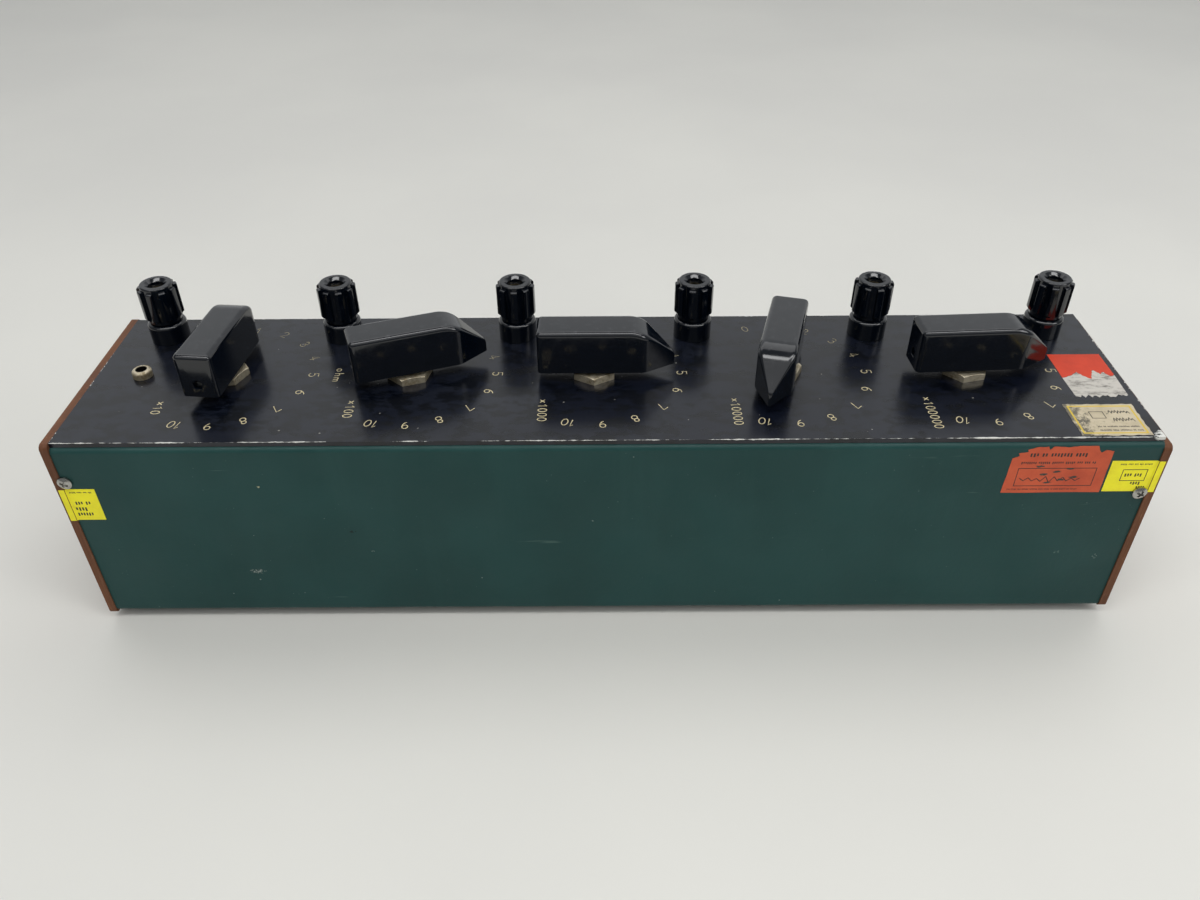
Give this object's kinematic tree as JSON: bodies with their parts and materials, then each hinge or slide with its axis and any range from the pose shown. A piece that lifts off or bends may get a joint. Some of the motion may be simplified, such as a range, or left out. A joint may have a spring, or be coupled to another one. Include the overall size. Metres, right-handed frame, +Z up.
{
  "type": "decade resistance box",
  "caption": "Long bench box with stepped rotary dials under pointer-bar knobs and a row of screw-down binding posts, for setting a known electrical resistance.",
  "frame": {"origin": "middle of the box on the surface that its feet stand on", "axes": "+X along the box to the right, +Y from its front to its rear, +Z up"},
  "size_m": [0.421, 0.0974, 0.1185],
  "materials": {
    "case_paint": "satin enamel, worn",
    "panel_enamel": "semi-gloss enamel, worn edges",
    "cheek_wood": "plain varnish",
    "bright_screw": "nickel plate",
    "zinc_steel": "plain",
    "foot_rubber": "matt",
    "post_plastic": "gloss phenolic",
    "knob_plastic": "gloss phenolic",
    "wheel_plastic": "moulded phenolic",
    "brass": "turned",
    "aged_nickel": "tarnished nickel plate",
    "laminate": "paper laminate",
    "bobbin": "wire-wound spool",
    "wire": "tinned"
  },
  "bodies": {
    "box": {"case_shell": "case_paint", "top_panel": "panel_enamel", "end_cheek_left": "cheek_wood", "end_cheek_right": "cheek_wood", "cheek_screws": "bright_screw", "panel_brackets": "zinc_steel", "feet": "foot_rubber", "foot_screws": "zinc_steel", "earth_socket": "aged_nickel", "post_collars": "post_plastic", "post_studs": "brass", "post_insulators": "laminate", "terminal_nuts": "brass", "switch_plates": "zinc_steel", "switch_bushes": "brass", "switch_nuts": "aged_nickel", "switch_pillars": "brass", "stator_plates": "laminate", "contact_studs": "brass", "collector_rings": "brass", "index_springs": "zinc_steel", "resistor_bobbins": "bobbin", "hookup_wires": "wire"},
    "rotor_1": {"knob_1": "knob_plastic", "knob_screw_1": "zinc_steel", "shaft_1": "zinc_steel", "index_wheel_1": "wheel_plastic", "wiper_1": "brass"},
    "rotor_2": {"knob_2": "knob_plastic", "knob_screw_2": "zinc_steel", "shaft_2": "zinc_steel", "index_wheel_2": "wheel_plastic", "wiper_2": "brass"},
    "rotor_3": {"knob_3": "knob_plastic", "knob_screw_3": "zinc_steel", "shaft_3": "zinc_steel", "index_wheel_3": "wheel_plastic", "wiper_3": "brass"},
    "rotor_4": {"knob_4": "knob_plastic", "knob_screw_4": "zinc_steel", "shaft_4": "zinc_steel", "index_wheel_4": "wheel_plastic", "wiper_4": "brass"},
    "rotor_5": {"knob_5": "knob_plastic", "knob_screw_5": "zinc_steel", "shaft_5": "zinc_steel", "index_wheel_5": "wheel_plastic", "wiper_5": "brass"},
    "washer_1": {"post_washer_1": "brass"},
    "cap_1": {"post_cap_1": "post_plastic"},
    "washer_2": {"post_washer_2": "brass"},
    "cap_2": {"post_cap_2": "post_plastic"},
    "washer_3": {"post_washer_3": "brass"},
    "cap_3": {"post_cap_3": "post_plastic"},
    "washer_4": {"post_washer_4": "brass"},
    "cap_4": {"post_cap_4": "post_plastic"},
    "washer_5": {"post_washer_5": "brass"},
    "cap_5": {"post_cap_5": "post_plastic"},
    "washer_6": {"post_washer_6": "brass"},
    "cap_6": {"post_cap_6": "post_plastic"}
  },
  "joints": [
    {"name": "dial_1", "type": "hinge", "parent": "box", "child": "rotor_1", "pos_m": [-0.1545, 0, 0.0925], "axis": [0, 0, 1], "range_deg": [-190.59, 21.18]},
    {"name": "dial_2", "type": "hinge", "parent": "box", "child": "rotor_2", "pos_m": [-0.0795, 0, 0.0925], "axis": [0, 0, 1], "range_deg": [-127.06, 84.71]},
    {"name": "dial_3", "type": "hinge", "parent": "box", "child": "rotor_3", "pos_m": [-0.0045, 0, 0.0925], "axis": [0, 0, 1], "range_deg": [-105.88, 105.88]},
    {"name": "dial_4", "type": "hinge", "parent": "box", "child": "rotor_4", "pos_m": [0.0705, 0, 0.0925], "axis": [0, 0, 1], "range_deg": [0, 211.76]},
    {"name": "dial_5", "type": "hinge", "parent": "box", "child": "rotor_5", "pos_m": [0.1455, 0, 0.0925], "axis": [0, 0, 1], "range_deg": [-105.88, 105.88]},
    {"name": "washer_lift_1", "type": "slide", "parent": "box", "child": "washer_1", "axis": [0, 0, 1], "range_m": [0, 0.004]},
    {"name": "cap_screw_1", "type": "hinge", "parent": "washer_1", "child": "cap_1", "pos_m": [-0.1875, 0.031, 0.0925], "axis": [0, 0, 1], "range_deg": [0, 1441]},
    {"name": "washer_lift_2", "type": "slide", "parent": "box", "child": "washer_2", "axis": [0, 0, 1], "range_m": [0, 0.004]},
    {"name": "cap_screw_2", "type": "hinge", "parent": "washer_2", "child": "cap_2", "pos_m": [-0.1125, 0.031, 0.0925], "axis": [0, 0, 1], "range_deg": [0, 1441]},
    {"name": "washer_lift_3", "type": "slide", "parent": "box", "child": "washer_3", "axis": [0, 0, 1], "range_m": [0, 0.004]},
    {"name": "cap_screw_3", "type": "hinge", "parent": "washer_3", "child": "cap_3", "pos_m": [-0.0375, 0.031, 0.0925], "axis": [0, 0, 1], "range_deg": [0, 1441]},
    {"name": "washer_lift_4", "type": "slide", "parent": "box", "child": "washer_4", "axis": [0, 0, 1], "range_m": [0, 0.004]},
    {"name": "cap_screw_4", "type": "hinge", "parent": "washer_4", "child": "cap_4", "pos_m": [0.0375, 0.031, 0.0925], "axis": [0, 0, 1], "range_deg": [0, 1441]},
    {"name": "washer_lift_5", "type": "slide", "parent": "box", "child": "washer_5", "axis": [0, 0, 1], "range_m": [0, 0.004]},
    {"name": "cap_screw_5", "type": "hinge", "parent": "washer_5", "child": "cap_5", "pos_m": [0.1125, 0.031, 0.0925], "axis": [0, 0, 1], "range_deg": [0, 1441]},
    {"name": "washer_lift_6", "type": "slide", "parent": "box", "child": "washer_6", "axis": [0, 0, 1], "range_m": [0, 0.004]},
    {"name": "cap_screw_6", "type": "hinge", "parent": "washer_6", "child": "cap_6", "pos_m": [0.1875, 0.031, 0.0925], "axis": [0, 0, 1], "range_deg": [0, 1441]}
  ],
  "couplings": [
    {"joint": "cap_screw_1", "follows": "washer_lift_1", "rad_per_m": 6283.2},
    {"joint": "cap_screw_2", "follows": "washer_lift_2", "rad_per_m": 6283.2},
    {"joint": "cap_screw_3", "follows": "washer_lift_3", "rad_per_m": 6283.2},
    {"joint": "cap_screw_4", "follows": "washer_lift_4", "rad_per_m": 6283.2},
    {"joint": "cap_screw_5", "follows": "washer_lift_5", "rad_per_m": 6283.2},
    {"joint": "cap_screw_6", "follows": "washer_lift_6", "rad_per_m": 6283.2}
  ]
}
